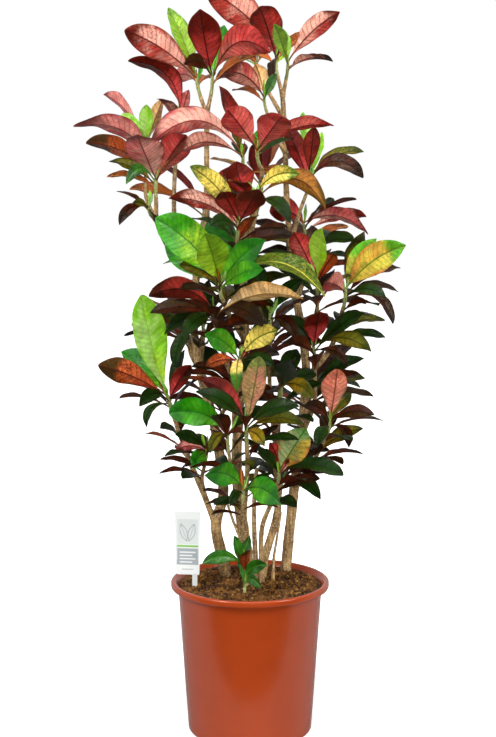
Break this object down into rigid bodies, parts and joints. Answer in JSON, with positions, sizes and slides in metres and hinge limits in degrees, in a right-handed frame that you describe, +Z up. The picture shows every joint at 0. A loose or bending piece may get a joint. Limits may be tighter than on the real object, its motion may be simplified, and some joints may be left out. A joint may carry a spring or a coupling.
{
  "type": "potted croton",
  "caption": "Bushy croton house plant with red, pink, green and gold leaves on woody stems, in a terracotta coloured plastic pot of soil with a stick-in label.",
  "frame": {"origin": "middle of the pot's flat bottom, on the surface it stands on", "axes": "+Z up along the plant, +X to the viewer's right, +Y away from the viewer, who sees the label at the left"},
  "size_m": [0.4789, 0.4439, 1.1129],
  "materials": {
    "pot_plastic": "satin",
    "soil_mix": "matte",
    "label_plastic": "satin",
    "bark": "matte",
    "leaf_coral": "satin",
    "leaf_crimson": "satin",
    "leaf_pink": "satin",
    "leaf_peach": "satin",
    "leaf_lime": "satin",
    "leaf_green": "gloss",
    "leaf_dark": "gloss",
    "leaf_wine": "gloss",
    "leaf_gold": "satin",
    "leaf_copper": "satin",
    "leaf_olive": "gloss",
    "leaf_sunset": "satin"
  },
  "bodies": {
    "root": {"pot": "pot_plastic", "soil": "soil_mix", "label": "label_plastic", "stem_left": "bark", "stem_middle": "bark", "stem_front": "bark", "stem_slim": "bark", "stem_core": "bark", "stem_right": "bark", "twig_bare": "bark", "shoot_top_outer": "leaf_coral", "shoot_top_inner": "leaf_crimson", "shoot_top_back": "leaf_coral", "shoot_top_right": "leaf_coral", "shoot_peach": "leaf_peach", "shoot_curve": "leaf_crimson", "shoot_lime": "leaf_lime", "shoot_pink": "leaf_pink", "shoot_spur": "leaf_wine", "shoot_arch": "leaf_pink", "shoot_fan": "leaf_crimson", "shoot_brown": "leaf_copper", "shoot_gold": "leaf_gold", "shoot_heart": "leaf_crimson", "shoot_long_pink": "leaf_pink", "shoot_crimson": "leaf_crimson", "shoot_sunset": "leaf_sunset", "shoot_green": "leaf_green", "shoot_wine": "leaf_wine", "shoot_dark_left": "leaf_dark", "shoot_dark_middle": "leaf_dark", "shoot_veined": "leaf_gold", "shoot_olive": "leaf_olive", "shoot_copper": "leaf_copper", "shoot_bright": "leaf_green", "shoot_centre": "leaf_dark", "shoot_leaf_gold": "leaf_olive", "shoot_coral_low": "leaf_coral", "shoot_variegated": "leaf_sunset", "shoot_low_right": "leaf_dark", "shoot_low_left": "leaf_dark", "shoot_green_pair": "leaf_green", "shoot_rear_left": "leaf_coral", "shoot_rear_middle": "leaf_crimson", "shoot_rear_right": "leaf_wine", "shoot_rear_green": "leaf_green", "shoot_rear_heel": "leaf_dark", "shoot_rear_side": "leaf_dark", "shoot_rear_low": "leaf_wine", "shoot_rear_foot": "leaf_dark", "shoot_rear_crown": "leaf_coral", "sprout": "leaf_green"}
  },
  "joints": []
}
